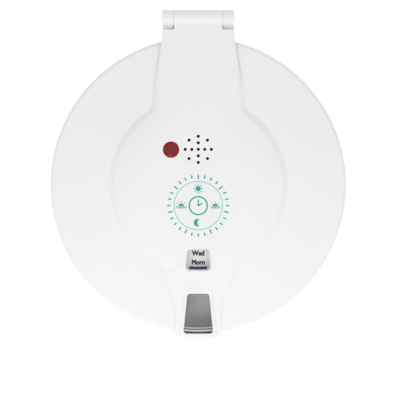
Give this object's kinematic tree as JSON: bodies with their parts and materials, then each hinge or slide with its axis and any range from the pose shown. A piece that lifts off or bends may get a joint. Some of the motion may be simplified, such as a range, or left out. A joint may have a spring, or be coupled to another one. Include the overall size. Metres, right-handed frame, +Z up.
{
  "type": "electronic pill box",
  "caption": "Round timed pill dispenser: a motor-driven carousel of seven day trays under a hinged lid with a dose window, an alarm light and an opening in its nose.",
  "frame": {"origin": "centre of the footprint, on the table under the feet", "axes": "+Z up, +Y towards the lid's hinge, -Y towards the nose with the opening"},
  "size_m": [0.19, 0.2104, 0.0578],
  "materials": {
    "white_abs": "fine satin moulding",
    "light_grey_abs": "satin moulding",
    "grey_abs": "satin moulding",
    "clear_polycarbonate": "clear and glossy",
    "red_lens": "translucent dark red, glossy",
    "black_plastic": "matte",
    "grille_fabric": "fine black cloth",
    "dark_rubber": "matte",
    "steel": "bright",
    "brass": "bright",
    "circuit_board": "solder mask",
    "cell_wrap": "printed film",
    "label_paper": "matte print",
    "lead_red": "satin insulation",
    "lead_black": "satin insulation"
  },
  "bodies": {
    "case": {"base_shell": "white_abs", "base_deck": "light_grey_abs", "hub_tower": "white_abs", "control_panel": "light_grey_abs", "display_module": "black_plastic", "display_window": "clear_polycarbonate", "main_board": "circuit_board", "alarm_led": "red_lens", "buzzer": "black_plastic", "tilt_switch": "grey_abs", "position_sensor": "black_plastic", "gear_motor": "steel", "battery_cell_1": "cell_wrap", "battery_cell_2": "cell_wrap", "battery_cell_3": "cell_wrap", "battery_cell_4": "cell_wrap", "contact_plate_left": "brass", "contact_plate_right": "brass", "foot_1": "dark_rubber", "foot_2": "dark_rubber", "foot_3": "dark_rubber", "foot_4": "dark_rubber", "base_screw_1": "steel", "base_screw_2": "steel", "base_screw_3": "steel", "base_screw_4": "steel", "hub_screw_1": "steel", "hub_screw_2": "steel", "hub_screw_3": "steel", "hinge_pin": "steel", "battery_lead": "lead_red", "motor_lead": "lead_black"},
    "lid": {"lid_shell": "white_abs", "lid_fascia": "white_abs", "lid_liner": "light_grey_abs", "window_pane": "clear_polycarbonate", "alarm_lens": "red_lens", "grille_cloth": "grille_fabric", "lid_screw_1": "steel", "lid_screw_2": "steel", "lid_screw_3": "steel", "lid_screw_4": "steel"},
    "carousel": {"day_tray_1": "white_abs", "day_tray_2": "white_abs", "day_tray_3": "white_abs", "day_tray_4": "white_abs", "day_tray_5": "white_abs", "day_tray_6": "white_abs", "day_tray_7": "white_abs", "turntable": "light_grey_abs", "label_drum": "white_abs", "label_ring": "label_paper"},
    "motor_output": {"motor_pinion": "brass", "motor_shaft": "steel"},
    "latch_button": {"latch_button": "grey_abs"},
    "battery_door": {"battery_door": "white_abs"},
    "set_key": {"set_key": "dark_rubber"},
    "hour_key": {"hour_key": "dark_rubber"},
    "minute_key": {"minute_key": "dark_rubber"},
    "alarm_key": {"alarm_key": "dark_rubber"}
  },
  "joints": [
    {"name": "lid_hinge", "type": "hinge", "parent": "case", "child": "lid", "pos_m": [0, 0.09992, 0.0525], "axis": [-1, 0, 0], "range_deg": [0, 105]},
    {"name": "carousel_turn", "type": "hinge", "parent": "case", "child": "carousel", "pos_m": [0, -0.00707, 0], "axis": [0, 0, 1], "continuous": true},
    {"name": "motor_turn", "type": "hinge", "parent": "case", "child": "motor_output", "pos_m": [-0.04073, -0.0478, 0], "axis": [0, 0, 1], "continuous": true},
    {"name": "latch_press", "type": "slide", "parent": "case", "child": "latch_button", "axis": [0, 1, 0], "range_m": [0, 0.0009], "stiffness_N_per_m": 800},
    {"name": "battery_door_swing", "type": "hinge", "parent": "case", "child": "battery_door", "pos_m": [0, 0.05908, 0.0025], "axis": [1, 0, 0], "range_deg": [0, 60]},
    {"name": "set_key_press", "type": "slide", "parent": "case", "child": "set_key", "axis": [0, 0, -1], "range_m": [0, 0.0006], "stiffness_N_per_m": 1200},
    {"name": "hour_key_press", "type": "slide", "parent": "case", "child": "hour_key", "axis": [0, 0, -1], "range_m": [0, 0.0006], "stiffness_N_per_m": 1200},
    {"name": "minute_key_press", "type": "slide", "parent": "case", "child": "minute_key", "axis": [0, 0, -1], "range_m": [0, 0.0006], "stiffness_N_per_m": 1200},
    {"name": "alarm_key_press", "type": "slide", "parent": "case", "child": "alarm_key", "axis": [0, 0, -1], "range_m": [0, 0.0006], "stiffness_N_per_m": 1200}
  ],
  "couplings": [
    {"joint": "motor_turn", "follows": "carousel_turn", "ratio": -5}
  ]
}
